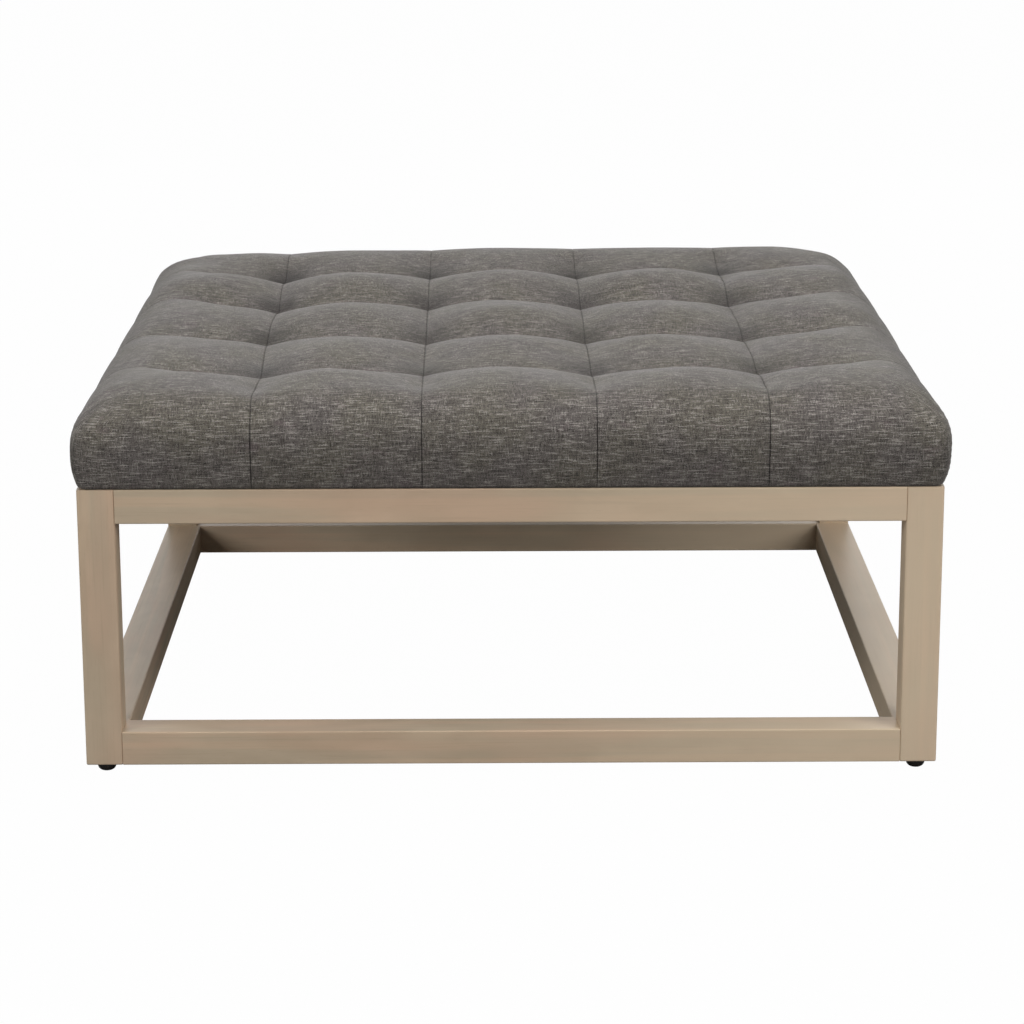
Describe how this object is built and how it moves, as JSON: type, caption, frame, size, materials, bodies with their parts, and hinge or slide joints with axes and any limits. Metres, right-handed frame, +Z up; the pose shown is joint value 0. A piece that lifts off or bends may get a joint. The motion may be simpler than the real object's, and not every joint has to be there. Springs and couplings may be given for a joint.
{
  "type": "ottoman coffee table",
  "caption": "Square upholstered ottoman coffee table: blind-tufted cushion top on an open box frame of timber posts and rails.",
  "frame": {"origin": "on the floor, under the centre of the table", "axes": "+Z up, +X to the right and -Y towards the viewer, seen from the front"},
  "size_m": [0.9288, 0.9288, 0.4324],
  "materials": {
    "frame_wood": "weathered driftwood stain, satin clear coat",
    "hidden_wood": "planed, unfinished",
    "deck_ply": "sanded plywood, unfinished",
    "cover_fabric": "heathered slub weave, matt",
    "foam": "open-cell upholstery foam",
    "wadding": "polyester fibre wadding",
    "dust_cloth": "thin non-woven cloth",
    "tie_cord": "waxed upholstery twine",
    "glide_plastic": "moulded, matt",
    "fastener_steel": "zinc plated"
  },
  "bodies": {
    "root": {"post_front_left": "frame_wood", "post_front_right": "frame_wood", "post_back_left": "frame_wood", "post_back_right": "frame_wood", "top_rail_front": "frame_wood", "top_rail_back": "frame_wood", "top_rail_left": "frame_wood", "top_rail_right": "frame_wood", "bottom_rail_front": "frame_wood", "bottom_rail_back": "frame_wood", "bottom_rail_left": "frame_wood", "bottom_rail_right": "frame_wood", "corner_block_front_left": "hidden_wood", "corner_block_front_right": "hidden_wood", "corner_block_back_left": "hidden_wood", "corner_block_back_right": "hidden_wood", "deck_batten_front": "hidden_wood", "deck_batten_back": "hidden_wood", "deck_batten_left": "hidden_wood", "deck_batten_right": "hidden_wood", "top_rail_dowels": "hidden_wood", "bottom_rail_dowels": "hidden_wood", "deck_panel": "deck_ply", "tufted_cover": "cover_fabric", "foam_slab": "foam", "wadding": "wadding", "dust_cover": "dust_cloth", "tuft_ties": "tie_cord", "glide_front_left": "glide_plastic", "glide_front_right": "glide_plastic", "glide_back_left": "glide_plastic", "glide_back_right": "glide_plastic", "tie_washers": "glide_plastic", "glide_nail_front_left": "fastener_steel", "glide_nail_front_right": "fastener_steel", "glide_nail_back_left": "fastener_steel", "glide_nail_back_right": "fastener_steel", "corner_block_screws": "fastener_steel", "deck_screws": "fastener_steel", "batten_screws": "fastener_steel", "dust_cover_staples": "fastener_steel", "cover_staples": "fastener_steel"}
  },
  "joints": []
}
